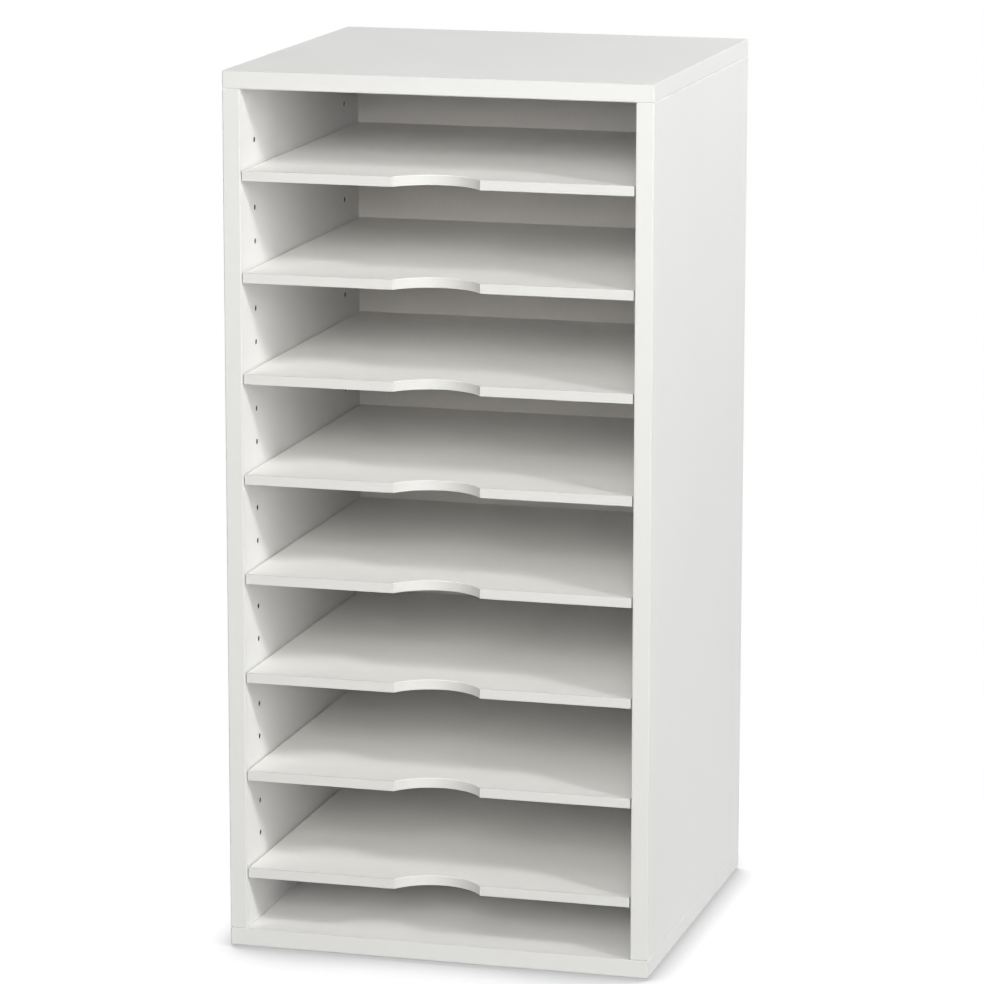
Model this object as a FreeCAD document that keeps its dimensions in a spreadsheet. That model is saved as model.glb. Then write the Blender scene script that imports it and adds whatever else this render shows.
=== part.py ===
"""Open-front paper sorter: a boarded case on glides, with notched shelves on spoon pins.

Units are millimetres. X runs across the front (right is +X), Y runs from the front to the
back, and Z is up. The origin is on the floor, under the middle of the case.
"""
import FreeCAD, Part
import math
import os

import Sketcher

DOCUMENT = FreeCAD.newDocument("PaperSorter")

# Driving sizes. Every value is set by itself; all other sizes and places follow from these.
SIZES = {
    # Case, measured over the boards
    "case_width": 386,
    "case_depth": 371,
    "case_height": 790,
    "board_thickness": 16,
    "edge_bevel": 0.8,
    # Back panel, held in a groove that runs round the inside of the case
    "back_thickness": 3,
    "space_behind_back": 15,
    "groove_depth": 6,
    "groove_clearance": 0.2,
    "back_edge_clearance": 0.5,
    # Two columns of pin holes in each side
    "hole_diameter": 5,
    "hole_depth": 10,
    "hole_pitch": 30,
    "spare_hole_rows": 1,
    "front_hole_setback": 40,
    "rear_hole_setback": 63,
    # Shelves, one at every third row of holes
    "shelf_count": 8,
    "holes_per_shelf": 3,
    "shelf_thickness": 9,
    "shelf_end_clearance": 1.2,
    "shelf_front_setback": 1,
    "shelf_rear_clearance": 1,
    "shelf_edge_bevel": 0.4,
    "notch_width": 79,
    "notch_depth": 22,
    # Spoon pins: a shank, a flange against the side and a flat tongue under the shelf
    "pin_fit_clearance": 0.05,
    "pin_shank_length": 9,
    "flange_rise": 3.5,
    "flange_thickness": 0.8,
    "tongue_length": 10,
    "tongue_width": 7,
    "tongue_thickness": 1.6,
    "tongue_drop": 1.5,
    "tongue_corner_bevel": 2,
    # Glued dowels that join the top and bottom boards to the sides
    "dowel_diameter": 8,
    "dowel_length": 30,
    "dowel_cap_depth": 11,
    "dowel_end_clearance": 1,
    "dowel_fit_clearance": 0.05,
    "dowel_end_bevel": 0.8,
    "dowel_inset": 50,
    "dowels_per_joint": 3,
    # Nail-on glides under the corners
    "glide_diameter": 20,
    "glide_height": 2.5,
    "glide_inset": 28,
    "glide_edge_bevel": 0.8,
    "nail_diameter": 2,
    "nail_length": 9,
    "nail_clearance": 0.05,
    "nail_end_clearance": 1,
}

# Small drilled holes, shanks and dowels have this many flats, set to touch the nominal circle.
ROUND_FLATS = 14
CORNER_REACH = 1 / math.cos(math.pi / ROUND_FLATS)

# Edges within this distance of a level plane count as lying in it.
LEVEL_TOLERANCE = 0.0001

# A row's volume may differ from that of its whole number of cuts by this share of one cut.
COUNT_TOLERANCE = 0.01

# Sizes that several pieces share, worked out from the driving sizes.
INNER_WIDTH = "(Sizes.case_width - 2 * Sizes.board_thickness)"
SIDE_HEIGHT = "(Sizes.case_height - 2 * Sizes.board_thickness)"
BACK_FACE = "(Sizes.case_depth - Sizes.space_behind_back - Sizes.back_thickness)"
GROOVE_WIDTH = "(Sizes.back_thickness + Sizes.groove_clearance)"
GROOVE_START = "(Sizes.board_thickness - Sizes.groove_depth)"
HOLE_GAPS = "((Sizes.shelf_count - 1) * Sizes.holes_per_shelf + Sizes.spare_hole_rows)"
HOLE_MARGIN = f"(({SIDE_HEIGHT} - {HOLE_GAPS} * Sizes.hole_pitch) / 2)"
DOWEL_SPACING = "((Sizes.case_depth - 2 * Sizes.dowel_inset) / (Sizes.dowels_per_joint - 1))"
DOWEL_SIDE_DEPTH = "(Sizes.dowel_length - Sizes.dowel_cap_depth + Sizes.dowel_end_clearance)"

# Corners of the case in the model's frame
CASE_LEFT = "(-Sizes.case_width / 2)"
CASE_FRONT = "(-Sizes.case_depth / 2)"
SIDE_FOOT = "(Sizes.glide_height + Sizes.board_thickness)"


def make_sheet():
    """Put the driving sizes in a spreadsheet, one named cell each."""
    sheet = DOCUMENT.addObject("Spreadsheet::Sheet", "Sizes")
    for row, (name, size) in enumerate(SIZES.items(), start=1):
        sheet.set(f"A{row}", name)
        sheet.set(f"B{row}", str(size))
        sheet.setAlias(f"B{row}", name)
    DOCUMENT.recompute()
    return sheet


SHEET = make_sheet()


def number(expression):
    """The present value of an expression on the sheet."""
    return float(SHEET.evalExpression(expression))


def origin_feature(body, role):
    """One of a body's own origin planes or axes."""
    return next(item for item in body.Origin.OriginFeatures if item.Role == role)


def new_body(name):
    body = DOCUMENT.addObject("PartDesign::Body", name)
    body.Label = name
    return body


def place(item, across, back, up):
    """Bind an object's position to three expressions."""
    item.setExpression("Placement.Base.x", across)
    item.setExpression("Placement.Base.y", back)
    item.setExpression("Placement.Base.z", up)


def attach(item, body, plane, offset):
    """Put an item on one of the body's origin planes, moved by an offset in the plane's frame."""
    item.AttachmentSupport = [(origin_feature(body, plane), "")]
    item.MapMode = "FlatFace"
    for axis, expression in zip("xyz", offset):
        item.setExpression(f"AttachmentOffset.Base.{axis}", expression)


def new_sketch(body, name, plane, offset=("0", "0", "0")):
    sketch = body.newObject("Sketcher::SketchObject", name)
    attach(sketch, body, plane, offset)
    return sketch


def constrain(sketch, name, expression, kind, *where):
    """Add a dimension to a sketch and bind it to an expression."""
    index = sketch.addConstraint(Sketcher.Constraint(kind, *where, number(expression)))
    sketch.renameConstraint(index, name)
    sketch.setExpression(f"Constraints.{name}", expression)


def join_ends(sketch, pieces):
    """Join each piece's end to the start of the next along an open or closed chain."""
    for first, second in zip(pieces, pieces[1:]):
        sketch.addConstraint(Sketcher.Constraint("Coincident", first, 2, second, 1))


def draw_line(sketch, start, end):
    first = FreeCAD.Vector(*start, 0)
    second = FreeCAD.Vector(*end, 0)
    return sketch.addGeometry(Part.LineSegment(first, second), False)


def level(sketch, *lines):
    for line in lines:
        sketch.addConstraint(Sketcher.Constraint("Horizontal", line))


def upright(sketch, *lines):
    for line in lines:
        sketch.addConstraint(Sketcher.Constraint("Vertical", line))


def draw_arc(sketch, centre, radius, start_angle, end_angle):
    """A round arc, drawn anticlockwise from its start angle."""
    circle = Part.Circle(FreeCAD.Vector(*centre, 0), FreeCAD.Vector(0, 0, 1), radius)
    return sketch.addGeometry(Part.ArcOfCircle(circle, start_angle, end_angle), False)


def draw_rectangle(sketch, width, height):
    """A rectangle with its lower left corner on the sketch's origin."""
    right = number(width)
    top = number(height)
    corners = [(0, 0), (right, 0), (right, top), (0, top)]
    lines = [draw_line(sketch, a, b) for a, b in zip(corners, corners[1:] + corners[:1])]
    join_ends(sketch, lines + lines[:1])
    sketch.addConstraint(Sketcher.Constraint("Coincident", lines[0], 1, -1, 1))
    level(sketch, lines[0], lines[2])
    upright(sketch, lines[1], lines[3])
    constrain(sketch, "width", width, "Distance", lines[0])
    constrain(sketch, "height", height, "Distance", lines[1])


def draw_circle(sketch, diameter):
    """A circle centred on the sketch's origin."""
    centre = FreeCAD.Vector(0, 0, 0)
    upward = FreeCAD.Vector(0, 0, 1)
    circle = sketch.addGeometry(Part.Circle(centre, upward, number(diameter) / 2), False)
    sketch.addConstraint(Sketcher.Constraint("Coincident", circle, 3, -1, 1))
    constrain(sketch, "diameter", diameter, "Diameter", circle)


def pad(body, name, sketch, length, backwards=False):
    feature = body.newObject("PartDesign::Pad", name)
    feature.Profile = sketch
    feature.Reversed = backwards
    feature.setExpression("Length", length)
    DOCUMENT.recompute()
    return feature


def pocket(body, name, sketch, depth, along_normal):
    """Cut a sketch into the solid, along its plane's normal or against it."""
    before = body.Tip.Shape.Volume
    feature = body.newObject("PartDesign::Pocket", name)
    feature.Profile = sketch
    feature.Reversed = along_normal
    feature.setExpression("Length", depth)
    DOCUMENT.recompute()
    if feature.Shape.Volume >= before:
        raise RuntimeError(f"{body.Label}: {name} removes nothing")
    return feature


def repeat(body, name, cut, axis, spacing, count):
    """Repeat a cut in a row along one of the body's axes, and check that every copy cuts."""
    before = cut.BaseFeature.Shape.Volume
    one_cut = before - cut.Shape.Volume
    pattern = body.newObject("PartDesign::LinearPattern", name)
    pattern.Originals = [cut]
    pattern.Refine = False
    pattern.Direction = (origin_feature(body, axis), [""])
    pattern.Mode = "Spacing"
    pattern.setExpression("Offset", spacing)
    pattern.setExpression("Occurrences", count)
    body.Tip = pattern
    DOCUMENT.recompute()
    cuts = (before - pattern.Shape.Volume) / one_cut
    if abs(cuts - number(count)) > COUNT_TOLERANCE:
        raise RuntimeError(f"{body.Label}: {name} makes {cuts:.2f} cuts")


def round_prism(body, kind, name, plane, offset, diameter, length):
    """Add a many-sided shank or cut a many-sided hole, from an offset point along the normal."""
    before = body.Tip.Shape.Volume if body.Tip else 0
    feature = body.newObject(f"PartDesign::{kind}Prism", name)
    attach(feature, body, plane, offset)
    feature.Polygon = ROUND_FLATS
    feature.Refine = False
    feature.setExpression("Circumradius", f"({diameter}) / 2 * {CORNER_REACH}")
    feature.setExpression("Height", length)
    DOCUMENT.recompute()
    if kind == "Subtractive" and feature.Shape.Volume >= before:
        raise RuntimeError(f"{body.Label}: {name} removes nothing")
    return feature


def is_any(edge):
    return True


def is_level(edge):
    return edge.BoundBox.ZLength < LEVEL_TOLERANCE


def is_lower(edge):
    return edge.BoundBox.ZMax < LEVEL_TOLERANCE


def bevel_edges(body, name, base, width, wanted=is_any):
    """Bevel the wanted edges of a feature."""
    edges = [f"Edge{i}" for i, edge in enumerate(base.Shape.Edges, start=1) if wanted(edge)]
    feature = body.newObject("PartDesign::Chamfer", name)
    feature.Base = (base, edges)
    feature.setExpression("Size", width)
    DOCUMENT.recompute()
    return feature


def dowel_holes(body, name, across, low_end, depth):
    """A row of upright dowel holes from front to back."""
    offset = (across, "Sizes.dowel_inset", low_end)
    diameter = "Sizes.dowel_diameter + 2 * Sizes.dowel_fit_clearance"
    hole = round_prism(body, "Subtractive", name, "XY_Plane", offset, diameter, depth)
    repeat(body, f"{name}_row", hole, "Y_Axis", DOWEL_SPACING, "Sizes.dowels_per_joint")


def cap_board(name, is_top):
    """The top or bottom board: full width and depth, grooved and drilled on its inner face."""
    body = new_body(name)
    outline = new_sketch(body, f"{name}_outline", "XY_Plane")
    draw_rectangle(outline, "Sizes.case_width", "Sizes.case_depth")
    board = pad(body, f"{name}_board", outline, "Sizes.board_thickness")
    bevel_edges(body, f"{name}_edges", board, "Sizes.edge_bevel")

    inner_face = "0" if is_top else "Sizes.board_thickness"
    groove = new_sketch(body, f"{name}_groove", "XY_Plane", (GROOVE_START, BACK_FACE, inner_face))
    draw_rectangle(groove, f"{INNER_WIDTH} + 2 * Sizes.groove_depth", GROOVE_WIDTH)
    pocket(body, f"{name}_back_groove", groove, "Sizes.groove_depth", is_top)

    low_end = "0" if is_top else "Sizes.board_thickness - Sizes.dowel_cap_depth"
    middles = {"left": "Sizes.board_thickness / 2"}
    middles["right"] = "Sizes.case_width - Sizes.board_thickness / 2"
    for side, middle in middles.items():
        dowel_holes(body, f"{name}_{side}_dowel", middle, low_end, "Sizes.dowel_cap_depth")
    return body


def make_top_panel():
    body = cap_board("top_panel", True)
    place(body, CASE_LEFT, CASE_FRONT, f"{SIDE_FOOT} + {SIDE_HEIGHT}")
    return body


def make_bottom_panel():
    """The bottom board, with a pilot hole for the nail of each glide."""
    body = cap_board("bottom_panel", False)
    diameter = "Sizes.nail_diameter + 2 * Sizes.nail_clearance"
    far_x = "Sizes.case_width - Sizes.glide_inset"
    far_y = "Sizes.case_depth - Sizes.glide_inset"
    for x_name, across in (("left", "Sizes.glide_inset"), ("right", far_x)):
        for y_name, back in (("front", "Sizes.glide_inset"), ("rear", far_y)):
            name = f"{y_name}_{x_name}_pilot"
            depth = "Sizes.nail_length + Sizes.nail_end_clearance"
            round_prism(body, "Subtractive", name, "XY_Plane", (across, back, "0"), diameter, depth)
    place(body, CASE_LEFT, CASE_FRONT, "Sizes.glide_height")
    return body


def make_side_panel(hand):
    """A side board with its inner face on its own YZ plane, drilled and grooved from there."""
    name = f"{hand}_side_panel"
    is_left = hand == "left"
    body = new_body(name)
    outline = new_sketch(body, f"{name}_outline", "YZ_Plane")
    draw_rectangle(outline, "Sizes.case_depth", SIDE_HEIGHT)
    board = pad(body, f"{name}_board", outline, "Sizes.board_thickness", is_left)
    bevel_edges(body, f"{name}_edges", board, "Sizes.edge_bevel")

    groove = new_sketch(body, f"{name}_groove", "YZ_Plane", (BACK_FACE, "0", "0"))
    draw_rectangle(groove, GROOVE_WIDTH, SIDE_HEIGHT)
    pocket(body, f"{name}_back_groove", groove, "Sizes.groove_depth", not is_left)

    middle = "-Sizes.board_thickness / 2" if is_left else "Sizes.board_thickness / 2"
    for end, low_end in (("bottom", "0"), ("top", f"{SIDE_HEIGHT} - {DOWEL_SIDE_DEPTH}")):
        dowel_holes(body, f"{name}_{end}_dowel", middle, low_end, DOWEL_SIDE_DEPTH)

    hole_floor = "-Sizes.hole_depth" if is_left else "0"
    setbacks = {"front": "Sizes.front_hole_setback"}
    setbacks["rear"] = "Sizes.case_depth - Sizes.rear_hole_setback"
    for column, setback in setbacks.items():
        title = f"{name}_{column}_pin_hole"
        offset = (setback, HOLE_MARGIN, hole_floor)
        size = ("Sizes.hole_diameter", "Sizes.hole_depth")
        hole = round_prism(body, "Subtractive", title, "YZ_Plane", offset, *size)
        repeat(body, f"{title}_column", hole, "Z_Axis", "Sizes.hole_pitch", f"{HOLE_GAPS} + 1")

    inner_face = f"-{INNER_WIDTH} / 2" if is_left else f"{INNER_WIDTH} / 2"
    place(body, inner_face, CASE_FRONT, SIDE_FOOT)
    return body


def make_back_panel():
    """A thin board that stands on the floor of the bottom board's groove."""
    body = new_body("back_panel")
    outline = new_sketch(body, "back_outline", "XZ_Plane")
    width = f"{INNER_WIDTH} + 2 * (Sizes.groove_depth - Sizes.back_edge_clearance)"
    height = f"{SIDE_HEIGHT} + 2 * Sizes.groove_depth - Sizes.back_edge_clearance"
    draw_rectangle(outline, width, height)
    pad(body, "back_board", outline, "Sizes.back_thickness", True)
    left = f"{CASE_LEFT} + {GROOVE_START} + Sizes.back_edge_clearance"
    up = f"{SIDE_FOOT} - Sizes.groove_depth"
    place(body, left, f"{CASE_FRONT} + {BACK_FACE}", up)
    return body


def draw_shelf_outline(sketch, width, depth):
    """A rectangle with a shallow round finger notch in the middle of its front edge."""
    radius = "(Sizes.notch_width ^ 2 / 4 + Sizes.notch_depth ^ 2) / (2 * Sizes.notch_depth)"
    right = number(width)
    rear = number(depth)
    half_notch = number("Sizes.notch_width / 2")
    centre_drop = number(radius) - number("Sizes.notch_depth")
    start_angle = math.atan2(centre_drop, half_notch)

    front_left = draw_line(sketch, (0, 0), (right / 2 - half_notch, 0))
    centre = (right / 2, -centre_drop)
    notch = draw_arc(sketch, centre, number(radius), start_angle, math.pi - start_angle)
    front_right = draw_line(sketch, (right / 2 + half_notch, 0), (right, 0))
    right_end = draw_line(sketch, (right, 0), (right, rear))
    rear_edge = draw_line(sketch, (right, rear), (0, rear))
    left_end = draw_line(sketch, (0, rear), (0, 0))

    join_ends(sketch, [front_right, right_end, rear_edge, left_end, front_left])
    sketch.addConstraint(Sketcher.Constraint("Coincident", front_left, 2, notch, 2))
    sketch.addConstraint(Sketcher.Constraint("Coincident", notch, 1, front_right, 1))
    sketch.addConstraint(Sketcher.Constraint("Coincident", front_left, 1, -1, 1))
    sketch.addConstraint(Sketcher.Constraint("PointOnObject", front_right, 2, -1))
    level(sketch, front_left, front_right, rear_edge)
    upright(sketch, right_end, left_end)
    sketch.addConstraint(Sketcher.Constraint("Equal", front_left, front_right))
    constrain(sketch, "width", width, "Distance", rear_edge)
    constrain(sketch, "depth", depth, "Distance", left_end)
    constrain(sketch, "notch_width", "Sizes.notch_width", "DistanceX", notch, 2, notch, 1)
    constrain(sketch, "notch_radius", radius, "Radius", notch)


def make_shelf(name, row_height):
    """A loose shelf whose underside lies on the tongues of four pins in one row of holes."""
    body = new_body(name)
    outline = new_sketch(body, f"{name}_outline", "XY_Plane")
    width = f"{INNER_WIDTH} - 2 * Sizes.shelf_end_clearance"
    depth = f"{BACK_FACE} - Sizes.shelf_front_setback - Sizes.shelf_rear_clearance"
    draw_shelf_outline(outline, width, depth)
    board = pad(body, f"{name}_board", outline, "Sizes.shelf_thickness")

    bevel_edges(body, f"{name}_edges", board, "Sizes.shelf_edge_bevel", is_level)
    left = f"-{INNER_WIDTH} / 2 + Sizes.shelf_end_clearance"
    front = f"{CASE_FRONT} + Sizes.shelf_front_setback"
    place(body, left, front, f"{row_height} - Sizes.tongue_drop")
    return body


def make_pin():
    """A spoon pin along X: the shank runs into a left-hand side, the tongue into the case."""
    body = new_body("spoon_pin")
    shank_start = ("0", "0", "-Sizes.pin_shank_length")
    diameter = "Sizes.hole_diameter - 2 * Sizes.pin_fit_clearance"
    length = "Sizes.pin_shank_length"
    round_prism(body, "Additive", "shank", "YZ_Plane", shank_start, diameter, length)

    side = "-Sizes.tongue_width / 2"
    foot = "-Sizes.tongue_drop - Sizes.tongue_thickness"
    flange_outline = new_sketch(body, "flange_outline", "YZ_Plane", (side, foot, "0"))
    flange_height = "Sizes.flange_rise + Sizes.tongue_drop + Sizes.tongue_thickness"
    draw_rectangle(flange_outline, "Sizes.tongue_width", flange_height)
    pad(body, "flange", flange_outline, "Sizes.flange_thickness")

    tongue_outline = new_sketch(body, "tongue_outline", "XY_Plane", ("0", side, foot))
    draw_rectangle(tongue_outline, "Sizes.tongue_length", "Sizes.tongue_width")
    tongue = pad(body, "tongue", tongue_outline, "Sizes.tongue_thickness")

    tip = number("Sizes.tongue_length") - LEVEL_TOLERANCE

    def is_tip_corner(edge):
        return edge.BoundBox.XMin > tip and not is_level(edge)

    bevel_edges(body, "tongue_corners", tongue, "Sizes.tongue_corner_bevel", is_tip_corner)
    return body


def make_dowel():
    """A wooden dowel that stands on its lower end, with both ends bevelled."""
    body = new_body("wood_dowel")
    size = ("Sizes.dowel_diameter", "Sizes.dowel_length")
    rod = round_prism(body, "Additive", "dowel_rod", "XY_Plane", ("0", "0", "0"), *size)
    bevel_edges(body, "dowel_ends", rod, "Sizes.dowel_end_bevel", is_level)
    return body


def make_glide():
    """A nail-on glide: a round foot below the board and its nail above."""
    body = new_body("nail_on_glide")
    foot_outline = new_sketch(body, "foot_outline", "XY_Plane")
    draw_circle(foot_outline, "Sizes.glide_diameter")
    foot = pad(body, "foot", foot_outline, "Sizes.glide_height")
    bevel_edges(body, "foot_edge", foot, "Sizes.glide_edge_bevel", is_lower)
    nail_start = ("0", "0", "Sizes.glide_height")
    size = ("Sizes.nail_diameter", "Sizes.nail_length")
    round_prism(body, "Additive", "nail", "XY_Plane", nail_start, *size)
    return body


def make_group(name, pattern, places):
    """Several separate solids of one pattern, gathered as one sub-part."""
    links = []
    for index, (across, back, up, turn) in enumerate(places, start=1):
        link = DOCUMENT.addObject("App::Link", f"{name}_{index}")
        link.LinkedObject = pattern
        turned = FreeCAD.Rotation(FreeCAD.Vector(0, 0, 1), turn)
        link.LinkPlacement = FreeCAD.Placement(FreeCAD.Vector(), turned)
        link.setExpression("LinkPlacement.Base.x", across)
        link.setExpression("LinkPlacement.Base.y", back)
        link.setExpression("LinkPlacement.Base.z", up)
        links.append(link)
    group = DOCUMENT.addObject("Part::Compound", name)
    group.Label = name
    group.Links = links
    return group


def make_pins(name, pattern, row_height):
    """The four pins under one shelf."""
    front = f"{CASE_FRONT} + Sizes.front_hole_setback"
    rear = f"-{CASE_FRONT} - Sizes.rear_hole_setback"
    sides = ((f"-{INNER_WIDTH} / 2", 0), (f"{INNER_WIDTH} / 2", 180))
    places = [(face, row, row_height, turn) for face, turn in sides for row in (front, rear)]
    return make_group(name, pattern, places)


def make_shelves_and_pins():
    """Shelves numbered from the top, each with its own pins."""
    pin = make_pin()
    pieces = []
    shelf_count = SIZES["shelf_count"]
    for shelf in range(1, shelf_count + 1):
        step = f"{shelf_count - shelf} * Sizes.holes_per_shelf * Sizes.hole_pitch"
        row_height = f"{SIDE_FOOT} + {HOLE_MARGIN} + {step}"
        pieces.append(make_shelf(f"shelf_{shelf}", row_height))
        pieces.append(make_pins(f"shelf_pins_{shelf}", pin, row_height))
    return pieces


def make_dowel_rows():
    """A row of dowels at each of the four joints between a side and a cap board."""
    dowel = make_dowel()
    case_top = f"{SIDE_FOOT} + {SIDE_HEIGHT}"
    levels = {"bottom": f"{SIDE_FOOT} - Sizes.dowel_cap_depth"}
    levels["top"] = f"{case_top} + Sizes.dowel_cap_depth - Sizes.dowel_length"
    middles = {"left": f"{CASE_LEFT} + Sizes.board_thickness / 2"}
    middles["right"] = f"-{CASE_LEFT} - Sizes.board_thickness / 2"
    first = f"{CASE_FRONT} + Sizes.dowel_inset"
    rows = [f"{first} + {i} * {DOWEL_SPACING}" for i in range(SIZES["dowels_per_joint"])]
    groups = []
    for end, level_up in levels.items():
        for side, middle in middles.items():
            places = [(middle, row, level_up, 0) for row in rows]
            groups.append(make_group(f"{end}_{side}_dowels", dowel, places))
    return groups


def make_glides():
    """Four glides, nailed under the corners of the bottom board."""
    across = (f"{CASE_LEFT} + Sizes.glide_inset", f"-{CASE_LEFT} - Sizes.glide_inset")
    back = (f"{CASE_FRONT} + Sizes.glide_inset", f"-{CASE_FRONT} - Sizes.glide_inset")
    places = [(x, y, "0", 0) for x in across for y in back]
    return make_group("floor_glides", make_glide(), places)


def check_and_export(pieces):
    """Stop if anything in the document failed, then write one STEP file for each piece."""
    DOCUMENT.recompute()
    for item in DOCUMENT.Objects:
        if "Invalid" in item.State or "Error" in item.State:
            raise RuntimeError(f"{item.Label} failed: {item.State}")
    for piece in pieces:
        if piece.Shape.isNull() or not piece.Shape.isValid():
            raise RuntimeError(f"{piece.Label} has no valid shape")
    os.makedirs("parts", exist_ok=True)
    for piece in pieces:
        piece.Shape.exportStep(f"parts/{piece.Label}.step")
        print(piece.Label, len(piece.Shape.Solids), round(piece.Shape.Volume))


PIECES = [make_top_panel(), make_bottom_panel()]
PIECES += [make_side_panel("left"), make_side_panel("right"), make_back_panel()]
PIECES += make_shelves_and_pins()
PIECES += make_dowel_rows()
PIECES.append(make_glides())
check_and_export(PIECES)
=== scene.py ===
"""Looks of the paper sorter: laminate, hardware, floor, studio light and camera.

Lengths are metres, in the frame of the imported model: X to the right, Y to the back, Z up.
"""

import math

import bpy
from mathutils import Matrix, Vector


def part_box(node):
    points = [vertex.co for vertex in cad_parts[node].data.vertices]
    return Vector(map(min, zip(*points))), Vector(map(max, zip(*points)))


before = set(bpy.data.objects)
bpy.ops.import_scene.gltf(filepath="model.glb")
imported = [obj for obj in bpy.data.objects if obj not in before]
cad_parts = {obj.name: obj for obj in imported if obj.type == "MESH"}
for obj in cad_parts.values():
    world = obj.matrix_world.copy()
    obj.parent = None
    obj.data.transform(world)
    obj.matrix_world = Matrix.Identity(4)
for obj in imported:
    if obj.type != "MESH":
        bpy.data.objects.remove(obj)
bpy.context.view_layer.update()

SHELF_NUMBERS = range(1, 9)
SHELVES = [f"shelf_{number}" for number in SHELF_NUMBERS]
PINS = [f"shelf_pins_{number}" for number in SHELF_NUMBERS]
CASE_BOARDS = ["top_panel", "bottom_panel", "left_side_panel", "right_side_panel"]
DOWELS = ["bottom_left_dowels", "bottom_right_dowels", "top_left_dowels", "top_right_dowels"]

CASE_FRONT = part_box("top_panel")[0][1]
SHELF_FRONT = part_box("shelf_1")[0][1]
CASE_MIDDLE = Vector((0, 0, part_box("top_panel")[1][2] / 2))

# Colours, as linear RGB. A laminate has three: its white, its mottling and its edge band. The
# edge band colour is partly the band's own tone and partly painted shade, darkening the fronts
# and, on shelves, every upright face.
CASE_LAMINATE = ((0.903, 0.90, 0.89), (0.883, 0.88, 0.87), (0.705, 0.702, 0.682))
SHELF_LAMINATE = ((0.94, 0.928, 0.902), (0.92, 0.907, 0.88), (0.672, 0.668, 0.645))
GLUE_GREY = (0.55, 0.545, 0.52)
WORN_EDGE = (0.70, 0.69, 0.66)
CHIPBOARD_LIGHT = (0.17, 0.11, 0.062)
CHIPBOARD_DARK = (0.055, 0.033, 0.018)
BOARD_BACK_WHITE = (0.86, 0.832, 0.80)
BOARD_BACK_GREY = (0.81, 0.782, 0.75)
NICKEL = (0.66, 0.65, 0.62)
NICKEL_STAINED = (0.45, 0.43, 0.40)
BEECH_LIGHT = (0.64, 0.43, 0.25)
BEECH_DARK = (0.50, 0.31, 0.17)
BEECH_FLECK = (0.32, 0.18, 0.09)
NYLON = (0.70, 0.70, 0.67)
NYLON_SCUFFED = (0.52, 0.51, 0.48)
FLOOR_WHITE = (0.76, 0.76, 0.76)
PURE_WHITE = (1.0, 1.0, 1.0)

# In this script a noise is (features per metre, octaves, strength of the finer octaves).
# Where a noise has a stretch, that multiplies its features per metre along X, Y and Z.
# A spread is (low, high, value at low, value at high), clamped at both ends.
# A relief is (strength, height in metres).

# Melamine laminate
MOTTLING = (7.0, 3.0, 0.5)
MOTTLING_SHARE = (0.35, 0.7, 0.0, 0.55)
RUBBED_PATCHES = (28.0, 4.0, 0.65)
RUBBED_SHARE = (0.45, 0.7, 0.0, 0.4)
HANDLING_MARKS = (16.0, 5.0, 0.6)
LAMINATE_ROUGHNESS = (0.3, 0.75, 0.72, 0.86)
LAMINATE_SHINE = 0.2
FOIL_GRAIN = (1400.0, 2.0, 0.5)
FOIL_RIPPLE = (90.0, 2.0, 0.5)
RIPPLE_SHARE = 0.5
FOIL_RELIEF = (0.10, 0.0002)

# The edge band on a board's front, and the glue line where it ends
BAND_THICKNESS = 0.0013
BAND_BLUR = 0.0001
GLUE_LINE = (0.00015, 0.0004, 0.22, 0.0)

# Chipboard lies below the foil on a board's faces, and below the band and bevels at its edges
FOIL_DEPTH = 0.0002
EDGE_DEPTH = 0.0011
SKIN_BLUR = 0.0001
CHIPBOARD_FLAKES = (900.0, 3.0, 0.7)
FLAKE_SHARE = (0.35, 0.65, 0.0, 1.0)
CHIPBOARD_ROUGHNESS = 0.9

# Masks, from the largest part of a face's normal and from its upward part
BEVEL_MASK = (0.8, 0.99, 1.0, 0.0)
UPRIGHT_MASK = (0.45, 0.55, 1.0, 0.0)

# Fibreboard of the back
FIBRE_STRETCH = (1.0, 1.0, 0.25)
FIBRES = (700.0, 4.0, 0.7)
FIBREBOARD_CLOUDS = (9.0, 3.0, 0.5)
FIBRE_WEIGHT = 0.35
CLOUD_WEIGHT = 0.65
FIBREBOARD_SHARE = (0.35, 0.65, 0.0, 1.0)
FIBREBOARD_ROUGHNESS = (0.3, 0.7, 0.5, 0.66)
FIBREBOARD_RELIEF = (0.25, 0.0003)

# Nickel of the pins, drawn along X
DRAWN_STRETCH = (60.0, 1400.0, 1400.0)
DRAWN_LINES = (1.0, 3.0, 0.5)
STAINS = (300.0, 4.0, 0.6)
STAIN_SHARE = (0.5, 0.75, 0.0, 0.5)
NICKEL_ROUGHNESS = (0.3, 0.7, 0.2, 0.4)
NICKEL_RELIEF = (0.15, 0.0001)

# Beech of the dowels, with its grain along Z
GRAIN_STRETCH = (900.0, 900.0, 45.0)
BEECH_GRAIN = (1.0, 5.0, 0.6)
GRAIN_SHARE = (0.3, 0.7, 0.0, 1.0)
FLECK_STRETCH = (1500.0, 1500.0, 160.0)
BEECH_FLECKS = (1.0, 2.0, 0.5)
FLECK_SHARE = (0.62, 0.72, 0.0, 0.6)
BEECH_ROUGHNESS = (0.3, 0.7, 0.55, 0.75)
BEECH_RELIEF = (0.3, 0.0002)

# Nylon of the glides, scuffed along Y
SCUFF_STRETCH = (500.0, 90.0, 500.0)
SCUFFS = (1.0, 4.0, 0.7)
SCUFF_SHARE = (0.5, 0.75, 0.0, 0.6)
NYLON_ROUGHNESS = (0.3, 0.7, 0.42, 0.62)
MOULD_TEXTURE = (1200.0, 2.0, 0.5)
NYLON_RELIEF = (0.2, 0.0001)

# Floor: brightness of its glow and its shadowed white near the case, which fade to pure white
FLOOR_SIZE = 30.0
FLOOR_GLOW = 0.84
FLOOR_SHADOW_WHITE = 0.27
SHADOW_FULL_WITHIN = 0.02
SHADOW_GONE_BEYOND = 0.45

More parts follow.
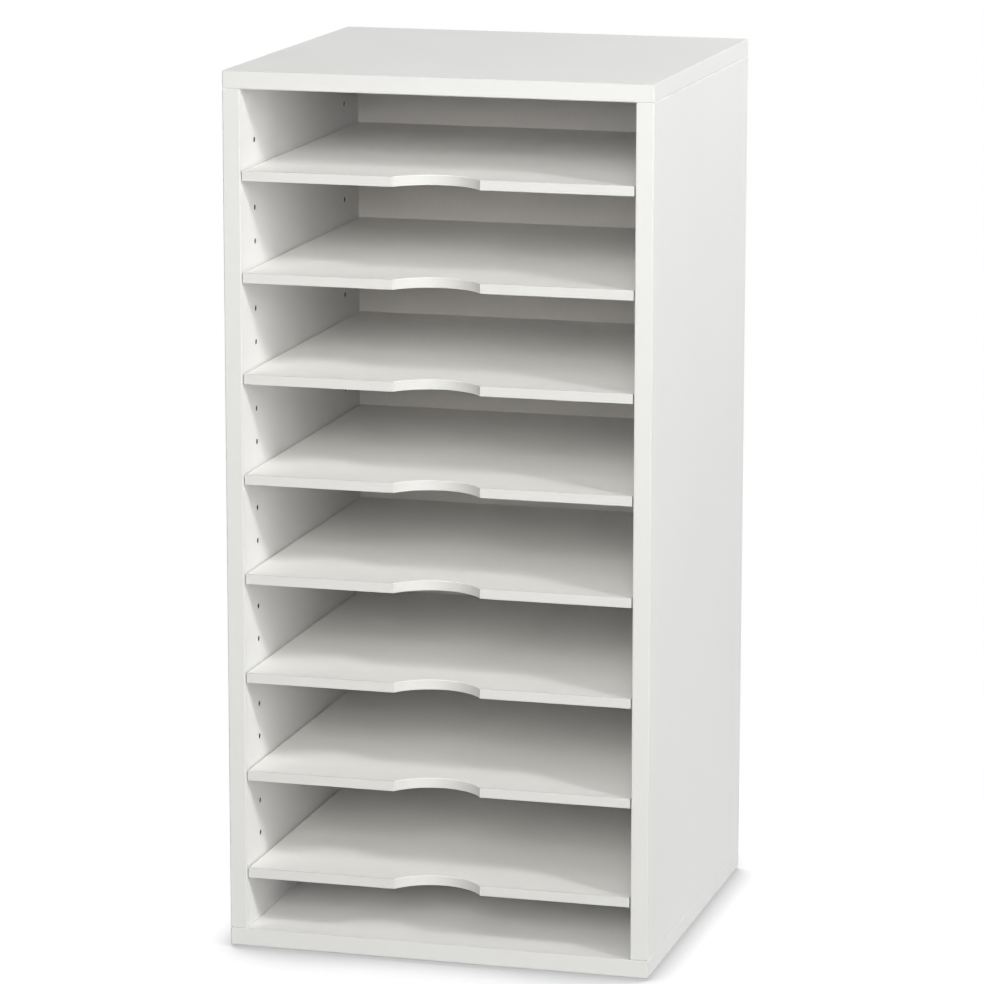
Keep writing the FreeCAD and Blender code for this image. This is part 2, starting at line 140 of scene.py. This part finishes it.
# Contact shadow: how far a covering part counts, how dark it gets and how far it shows beside
CONTACT_REACH = 0.12
CONTACT_STRENGTH = 1.35
CONTACT_POWER = 1.6
CONTACT_DARKEST = 0.44
CONTACT_BESIDE = 0.03

# Light: the world's even light and soft boxes aimed at the middle of the case
WORLD_LIGHT = 0.05
SOFT_BOXES = {
    # name: (degrees to the right of the front, degrees up, distance, size, watts)
    "key": (60, 30, 6.0, 0.8, 115),
    "key_low": (75, 12, 6.0, 0.8, 31),
    "front_far": (10, 20, 6.0, 2.0, 163),
    "front_low": (0, 10, 6.0, 2.0, 25),
    "front_near": (20, 35, 1.3, 0.6, 3.1),
    "right_near": (120, 45, 1.3, 0.6, 3.0),
    "left_rear": (-135, 30, 2.6, 2.0, 33),
}

# Camera: turned to the right of the front and a little above, at the photograph's distance
CAMERA_AZIMUTH = 15.36
CAMERA_ELEVATION = 11.67
CAMERA_ROLL = 0.06
CAMERA_DISTANCE = 4.33
CAMERA_LENS = 173.9
CAMERA_SENSOR = 36.0
AIM_RIGHT = -0.0003
AIM_UP = -0.0036


def named(sockets, identifier):
    """The socket with this identifier, where several share a name."""
    return next(socket for socket in sockets if socket.identifier == identifier)


class Nodes:
    """A material's or world's node tree, with short calls that add a node and wire it up."""

    def __init__(self, owner, output_kind):
        self.owner = owner
        owner.use_nodes = True
        self.tree = owner.node_tree
        self.tree.nodes.clear()
        self.output = self.add(output_kind)

    def add(self, kind, **inputs):
        """A new node; each input is a plain value or another node's output socket."""
        node = self.tree.nodes.new(f"ShaderNode{kind}")
        for name, value in inputs.items():
            self.feed(node.inputs[name.replace("_", " ")], value)
        return node

    def feed(self, socket, value):
        if isinstance(value, bpy.types.NodeSocket):
            self.tree.links.new(value, socket)
        elif socket.type == "RGBA":
            socket.default_value = (*value, 1)
        else:
            socket.default_value = value

    def math(self, operation, first, second=0.0):
        node = self.add("Math")
        node.operation = operation
        self.feed(node.inputs[0], first)
        self.feed(node.inputs[1], second)
        return node.outputs[0]

    def place(self):
        """Object coordinates, which stay on a piece when it moves."""
        return self.add("TexCoord").outputs["Object"]

    def stretched(self, scale):
        return self.add("Mapping", Vector=self.place(), Scale=scale).outputs["Vector"]

    def parts(self, vector):
        """The X, Y and Z of a vector."""
        return self.add("SeparateXYZ", Vector=vector).outputs

    def noise(self, where, scale, detail, roughness):
        node = self.add("TexNoise", Vector=where, Scale=scale, Detail=detail, Roughness=roughness)
        return node.outputs["Fac"]

    def span(self, value, low, high, at_low, at_high):
        """Map a range of a value to a new range, clamped at both ends."""
        node = self.add("MapRange", Value=value,
                        From_Min=low, From_Max=high, To_Min=at_low, To_Max=at_high)
        return node.outputs["Result"]

    def mix(self, share, first, second):
        """A colour between two others."""
        node = self.add("Mix")
        node.data_type = "RGBA"
        self.feed(named(node.inputs, "Factor_Float"), share)
        self.feed(named(node.inputs, "A_Color"), first)
        self.feed(named(node.inputs, "B_Color"), second)
        return named(node.outputs, "Result_Color")

    def bump(self, height, strength, distance):
        node = self.add("Bump", Height=height, Strength=strength, Distance=distance)
        return node.outputs["Normal"]

    def shader(self, kind, **inputs):
        return self.add(kind, **inputs).outputs[0]

    def mix_shaders(self, share, first, second):
        node = self.add("MixShader", Fac=share)
        self.feed(named(node.inputs, "Shader"), first)
        self.feed(named(node.inputs, "Shader_001"), second)
        return node.outputs[0]

    def add_shaders(self, first, second):
        node = self.add("AddShader")
        self.feed(named(node.inputs, "Shader"), first)
        self.feed(named(node.inputs, "Shader_001"), second)
        return node.outputs[0]

    def seen_or_lit(self, seen, lit):
        """One shader for camera, mirror and glass rays, another for light on the object."""
        rays = self.add("LightPath").outputs
        eye = self.math("MAXIMUM", rays["Is Camera Ray"], rays["Is Glossy Ray"])
        eye = self.math("MAXIMUM", eye, rays["Is Transmission Ray"])
        return self.mix_shaders(eye, lit, seen)

    def finish(self, shader):
        self.feed(self.output.inputs["Surface"], shader)
        return self.owner


def new_material(name):
    return Nodes(bpy.data.materials.new(name), "OutputMaterial")


def face_normal(nodes):
    """The X, Y and Z of a face's own normal."""
    return nodes.parts(nodes.add("NewGeometry").outputs["True Normal"])


def bevel_mask(nodes):
    """1 on slanted narrow faces such as bevels, 0 on faces square to an axis."""
    across, back, up = [nodes.math("ABSOLUTE", part) for part in face_normal(nodes)]
    largest = nodes.math("MAXIMUM", nodes.math("MAXIMUM", across, back), up)
    return nodes.span(largest, *BEVEL_MASK)


def upright_mask(nodes):
    """1 on upright faces, 0 on level ones."""
    return nodes.span(nodes.math("ABSOLUTE", face_normal(nodes)["Z"]), *UPRIGHT_MASK)


def distance_off(nodes, value, middle):
    return nodes.math("ABSOLUTE", nodes.math("SUBTRACT", value, middle))


def core_mask(nodes, where, board):
    """1 inside a board, where holes and grooves cut past its skin, and 0 on the skin."""
    low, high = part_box(board)
    halves = [(end - start) / 2 for start, end in zip(low, high)]
    middles = [(end + start) / 2 for start, end in zip(low, high)]
    core = 1.0
    for part, half, middle in zip(nodes.parts(where), halves, middles):
        skin = FOIL_DEPTH if half == min(halves) else EDGE_DEPTH
        inset = nodes.math("SUBTRACT", half, distance_off(nodes, part, middle))
        past_skin = nodes.span(inset, skin, skin + SKIN_BLUR, 0.0, 1.0)
        core = nodes.math("MULTIPLY", core, past_skin)
    return core


def faced_colour(nodes, where, front, colours, is_banded_and_shaded_all_round):
    """Mottled faces, the band on the edges with its glue line, and rubbed corners. The band
    colour is partly the band's own tone and partly painted shade; on shelves it also darkens
    every upright face as painted shade.
    """
    white, grey, band_and_painted_shade = colours
    mottling = nodes.span(nodes.noise(where, *MOTTLING), *MOTTLING_SHARE)
    colour = nodes.mix(mottling, white, grey)

    behind_front = nodes.math("SUBTRACT", nodes.parts(where)["Y"], front)
    # The band colour is partly the band's own tone and partly painted shade that darkens the
    # front
    band_and_shade_mask = nodes.span(behind_front, BAND_THICKNESS - BAND_BLUR, BAND_THICKNESS, 1.0, 0.0)
    # Painted shade: on shelves every upright face, the notch faces too, takes the darker band
    # colour
    if is_banded_and_shaded_all_round:
        band_and_shade_mask = nodes.math("MAXIMUM", band_and_shade_mask, upright_mask(nodes))
    colour = nodes.mix(band_and_shade_mask, colour, band_and_painted_shade)
    glue_line = nodes.span(distance_off(nodes, behind_front, BAND_THICKNESS), *GLUE_LINE)
    colour = nodes.mix(glue_line, colour, GLUE_GREY)

    patches = nodes.span(nodes.noise(where, *RUBBED_PATCHES), *RUBBED_SHARE)
    rubbed = nodes.math("MULTIPLY", bevel_mask(nodes), patches)
    return nodes.mix(rubbed, colour, WORN_EDGE)


def laminate(board, front, colours, is_drilled):
    """Melamine-faced board. Drilled case boards show chipboard in their holes and grooves."""
    nodes = new_material(f"{board}_laminate")
    where = nodes.place()
    colour = faced_colour(nodes, where, front, colours, is_banded_and_shaded_all_round=not is_drilled)

    # Handling marks change the sheen; the pressed foil has a very fine grain
    sheen = nodes.span(nodes.noise(where, *HANDLING_MARKS), *LAMINATE_ROUGHNESS)
    grain = nodes.noise(where, *FOIL_GRAIN)
    ripple = nodes.math("MULTIPLY", nodes.noise(where, *FOIL_RIPPLE), RIPPLE_SHARE)
    normal = nodes.bump(nodes.math("ADD", ripple, grain), *FOIL_RELIEF)

    if is_drilled:
        core = core_mask(nodes, where, board)
        flakes = nodes.span(nodes.noise(where, *CHIPBOARD_FLAKES), *FLAKE_SHARE)
        chipboard = nodes.mix(flakes, CHIPBOARD_LIGHT, CHIPBOARD_DARK)
        colour = nodes.mix(core, colour, chipboard)
        matt = nodes.math("MULTIPLY", core, CHIPBOARD_ROUGHNESS)
        sheen = nodes.math("MAXIMUM", sheen, matt)
    return nodes.finish(nodes.shader("BsdfPrincipled", Base_Color=colour, Roughness=sheen,
                                     Specular_IOR_Level=LAMINATE_SHINE, Normal=normal))


def fibreboard(name):
    """Thin painted fibreboard: flatter than the laminate, with short pressed fibres."""
    nodes = new_material(name)
    fibres = nodes.noise(nodes.stretched(FIBRE_STRETCH), *FIBRES)
    clouds = nodes.noise(nodes.place(), *FIBREBOARD_CLOUDS)
    shade = nodes.math("ADD", nodes.math("MULTIPLY", fibres, FIBRE_WEIGHT),
                       nodes.math("MULTIPLY", clouds, CLOUD_WEIGHT))
    share = nodes.span(shade, *FIBREBOARD_SHARE)
    return nodes.finish(nodes.shader(
        "BsdfPrincipled",
        Base_Color=nodes.mix(share, BOARD_BACK_WHITE, BOARD_BACK_GREY),
        Roughness=nodes.span(fibres, *FIBREBOARD_ROUGHNESS),
        Normal=nodes.bump(fibres, *FIBREBOARD_RELIEF)))


def nickel(name):
    """Plated steel pins, drawn and slightly dulled."""
    nodes = new_material(name)
    drawn = nodes.noise(nodes.stretched(DRAWN_STRETCH), *DRAWN_LINES)
    stains = nodes.span(nodes.noise(nodes.place(), *STAINS), *STAIN_SHARE)
    return nodes.finish(nodes.shader(
        "BsdfPrincipled",
        Base_Color=nodes.mix(stains, NICKEL, NICKEL_STAINED),
        Metallic=1.0,
        Roughness=nodes.span(drawn, *NICKEL_ROUGHNESS),
        Normal=nodes.bump(drawn, *NICKEL_RELIEF)))


def beech(name):
    """Bare beech with its grain along the dowel and short dark flecks."""
    nodes = new_material(name)
    grain = nodes.noise(nodes.stretched(GRAIN_STRETCH), *BEECH_GRAIN)
    flecks = nodes.noise(nodes.stretched(FLECK_STRETCH), *BEECH_FLECKS)
    wood = nodes.mix(nodes.span(grain, *GRAIN_SHARE), BEECH_LIGHT, BEECH_DARK)
    return nodes.finish(nodes.shader(
        "BsdfPrincipled",
        Base_Color=nodes.mix(nodes.span(flecks, *FLECK_SHARE), wood, BEECH_FLECK),
        Roughness=nodes.span(grain, *BEECH_ROUGHNESS),
        Normal=nodes.bump(grain, *BEECH_RELIEF)))


def nylon(name):
    """Moulded glides, scuffed where they rub the floor."""
    nodes = new_material(name)
    scuffs = nodes.noise(nodes.stretched(SCUFF_STRETCH), *SCUFFS)
    moulded = nodes.noise(nodes.place(), *MOULD_TEXTURE)
    return nodes.finish(nodes.shader(
        "BsdfPrincipled",
        Base_Color=nodes.mix(nodes.span(scuffs, *SCUFF_SHARE), NYLON, NYLON_SCUFFED),
        Roughness=nodes.span(scuffs, *NYLON_ROUGHNESS),
        Normal=nodes.bump(moulded, *NYLON_RELIEF)))


def dress(names, material):
    """Give CAD nodes a material in every slot."""
    for name in names:
        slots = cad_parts[name].data.materials
        if not len(slots):
            slots.append(material)
        for index in range(len(slots)):
            slots[index] = material


def gaps_from_case(nodes):
    """How far a point of the floor lies outside the case's footprint, along X and along Y."""
    low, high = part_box("bottom_panel")
    gaps = []
    for axis, part in zip((0, 1), nodes.parts(nodes.place())):
        middle = (low[axis] + high[axis]) / 2
        half = (high[axis] - low[axis]) / 2
        past = nodes.math("SUBTRACT", distance_off(nodes, part, middle), half)
        gaps.append(nodes.math("MAXIMUM", past, 0.0))
    return gaps


def contact_light(nodes, beside):
    """1 on open floor, less where nearby parts cover it. The shadow beside the case is narrow."""
    openness = nodes.add("AmbientOcclusion", Distance=CONTACT_REACH).outputs["AO"]
    covered = nodes.math("SUBTRACT", 1.0, openness)
    shade = nodes.math("POWER", covered, CONTACT_POWER)
    shade = nodes.math("MULTIPLY", shade, CONTACT_STRENGTH)
    shade = nodes.math("MINIMUM", shade, CONTACT_DARKEST)
    narrowed = nodes.span(beside, 0.0, CONTACT_BESIDE, 1.0, 0.0)
    return nodes.math("SUBTRACT", 1.0, nodes.math("MULTIPLY", shade, narrowed))


def floor_material():
    """Lights the case as a pale sheet, but looks white, with the shadow left in near the case."""
    nodes = new_material("studio_floor")
    beside, ahead = gaps_from_case(nodes)
    light = contact_light(nodes, beside)
    white = nodes.math("MULTIPLY", light, FLOOR_SHADOW_WHITE)
    grey = nodes.add("CombineXYZ", X=white, Y=white, Z=white).outputs[0]
    glow = nodes.math("MULTIPLY", light, FLOOR_GLOW)
    near = nodes.add_shaders(nodes.shader("BsdfDiffuse", Color=grey),
                             nodes.shader("Emission", Color=PURE_WHITE, Strength=glow))
    far = nodes.shader("Emission", Color=PURE_WHITE, Strength=1.0)
    squares = [nodes.math("MULTIPLY", gap, gap) for gap in (beside, ahead)]
    gap = nodes.math("SQRT", nodes.math("ADD", *squares))
    fade = nodes.span(gap, SHADOW_FULL_WITHIN, SHADOW_GONE_BEYOND, 0.0, 1.0)
    seen = nodes.mix_shaders(fade, near, far)
    lit = nodes.shader("BsdfDiffuse", Color=FLOOR_WHITE)
    return nodes.finish(nodes.seen_or_lit(seen, lit))


def make_floor():
    bpy.ops.mesh.primitive_plane_add(size=FLOOR_SIZE, location=(0, 0, 0))
    floor = bpy.context.object
    floor.name = "studio_floor"
    floor.data.materials.append(floor_material())


def make_world():
    """A faint even light on the case, and a white background."""
    world = bpy.data.worlds.new("studio")
    bpy.context.scene.world = world
    nodes = Nodes(world, "OutputWorld")
    seen = nodes.shader("Background", Color=PURE_WHITE, Strength=1.0)
    lit = nodes.shader("Background", Color=PURE_WHITE, Strength=WORLD_LIGHT)
    nodes.finish(nodes.seen_or_lit(seen, lit))


def towards(azimuth, elevation):
    """A unit vector from the case, turned right of its front and up, in degrees."""
    side = math.radians(azimuth)
    up = math.radians(elevation)
    return Vector((math.sin(side) * math.cos(up), -math.cos(side) * math.cos(up), math.sin(up)))


def make_soft_box(name, azimuth, elevation, distance, size, power):
    lamp = bpy.data.lights.new(name, "AREA")
    lamp.shape = "SQUARE"
    lamp.size = size
    lamp.energy = power
    box = bpy.data.objects.new(name, lamp)
    bpy.context.scene.collection.objects.link(box)
    away = towards(azimuth, elevation)
    box.location = CASE_MIDDLE + away * distance
    box.rotation_euler = away.to_track_quat("Z", "Y").to_euler()


def make_camera():
    away = towards(CAMERA_AZIMUTH, CAMERA_ELEVATION)
    turn = away.to_track_quat("Z", "Y").to_matrix()
    right, up = turn.col[0], turn.col[1]
    data = bpy.data.cameras.new("camera")
    data.sensor_width = CAMERA_SENSOR
    data.lens = CAMERA_LENS
    camera = bpy.data.objects.new("camera", data)
    bpy.context.scene.collection.objects.link(camera)
    camera.location = CASE_MIDDLE + right * AIM_RIGHT + up * AIM_UP + away * CAMERA_DISTANCE
    rolled = turn @ Matrix.Rotation(math.radians(CAMERA_ROLL), 3, "Z")
    camera.rotation_euler = rolled.to_euler()
    bpy.context.scene.camera = camera


for board in CASE_BOARDS:
    dress([board], laminate(board, CASE_FRONT, CASE_LAMINATE, is_drilled=True))
for shelf in SHELVES:
    dress([shelf], laminate(shelf, SHELF_FRONT, SHELF_LAMINATE, is_drilled=False))
dress(["back_panel"], fibreboard("white_back"))
dress(PINS, nickel("nickel_steel"))
dress(DOWELS, beech("beech"))
dress(["floor_glides"], nylon("glide_plastic"))

make_floor()
make_world()
for name, settings in SOFT_BOXES.items():
    make_soft_box(name, *settings)
make_camera()
bpy.context.scene.view_settings.view_transform = "Standard"
